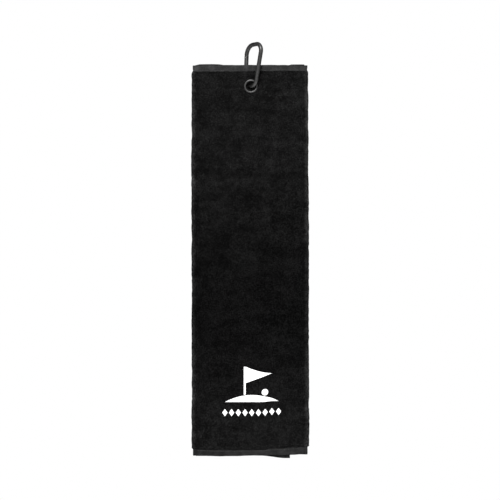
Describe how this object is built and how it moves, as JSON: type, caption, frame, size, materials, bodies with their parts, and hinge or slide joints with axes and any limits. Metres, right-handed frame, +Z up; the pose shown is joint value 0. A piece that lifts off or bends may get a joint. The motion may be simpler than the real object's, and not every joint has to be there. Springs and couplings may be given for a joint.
{
  "type": "golf towel",
  "caption": "Velour terry golf towel folded lengthwise in three, with an eyelet through its folded top and a spring-gate carabiner to hang it from a golf bag.",
  "frame": {"origin": "the ring seat: the point inside the carabiner's crown where the ring or loop that holds the towel bears", "axes": "+Z up, along the hanging towel; the printed front faces -Y; +X is to the right of someone facing the front"},
  "size_m": [0.1479, 0.0282, 0.5314],
  "materials": {
    "velour": "sheared cotton velour pile, near black, very matt",
    "hem_weave": "flat woven cotton hem, charcoal black",
    "sewing_thread": "black sewing thread",
    "print_ink": "matt white textile ink",
    "gunmetal": "dark gunmetal plating, satin",
    "eyelet_metal": "brass with dark gunmetal plating, satin",
    "pin_steel": "plain steel wire"
  },
  "bodies": {
    "hook": {"carabiner_body": "gunmetal", "hinge_rivet": "pin_steel"},
    "gate": {"gate": "gunmetal", "nose_pin": "pin_steel", "gate_spring": "pin_steel"},
    "plunger": {"gate_plunger": "pin_steel"},
    "towel": {"front_panel": "velour", "inner_flap_head": "velour", "outer_flap_head": "velour", "top_hem_front": "hem_weave", "top_thread_front": "sewing_thread", "top_hem_inner": "hem_weave", "top_hem_outer": "hem_weave", "top_thread_outer": "sewing_thread", "bottom_hem_front": "hem_weave", "bottom_thread_front": "sewing_thread", "eyelet": "eyelet_metal", "eyelet_washer": "eyelet_metal", "print_flag": "print_ink", "print_ball": "print_ink", "print_rule": "print_ink"},
    "outer_flap": {"outer_flap": "velour", "bottom_hem_outer": "hem_weave", "bottom_thread_outer": "sewing_thread", "side_hem_outer": "hem_weave", "side_thread_outer": "sewing_thread"},
    "inner_flap": {"inner_flap": "velour", "bottom_hem_inner": "hem_weave", "side_hem_inner": "hem_weave", "side_thread_inner": "sewing_thread"}
  },
  "joints": [
    {"name": "gate_hinge", "type": "hinge", "parent": "hook", "child": "gate", "pos_m": [-0.01101, 0.00855, -0.04383], "axis": [0.7843, 0.6157, -0.0769], "range_deg": [0, 18], "stiffness_Nm_per_rad": 0.05, "springref_deg": -11.46},
    {"name": "plunger_slide", "type": "slide", "parent": "gate", "child": "plunger", "axis": [0.034, 0.0811, 0.9961], "range_m": [0, 0.0005]},
    {"name": "towel_swing", "type": "hinge", "parent": "hook", "child": "towel", "pos_m": [-0.00445, -0.0007, -0.05175], "axis": [0, 1, 0], "range_deg": [-40, 40]},
    {"name": "outer_flap_fold", "type": "hinge", "parent": "towel", "child": "outer_flap", "pos_m": [0.06465, 0.002, -0.3], "axis": [0, 0, -1], "range_deg": [0, 60], "stiffness_Nm_per_rad": 0.006},
    {"name": "inner_flap_fold", "type": "hinge", "parent": "towel", "child": "inner_flap", "pos_m": [-0.0769, -0.0007, -0.3], "axis": [0, 0, 1], "range_deg": [0, 7.5]}
  ],
  "couplings": [
    {"joint": "plunger_slide", "follows": "gate_hinge", "m_per_rad": 0.00146},
    {"joint": "inner_flap_fold", "follows": "outer_flap_fold", "ratio": 0.125}
  ]
}
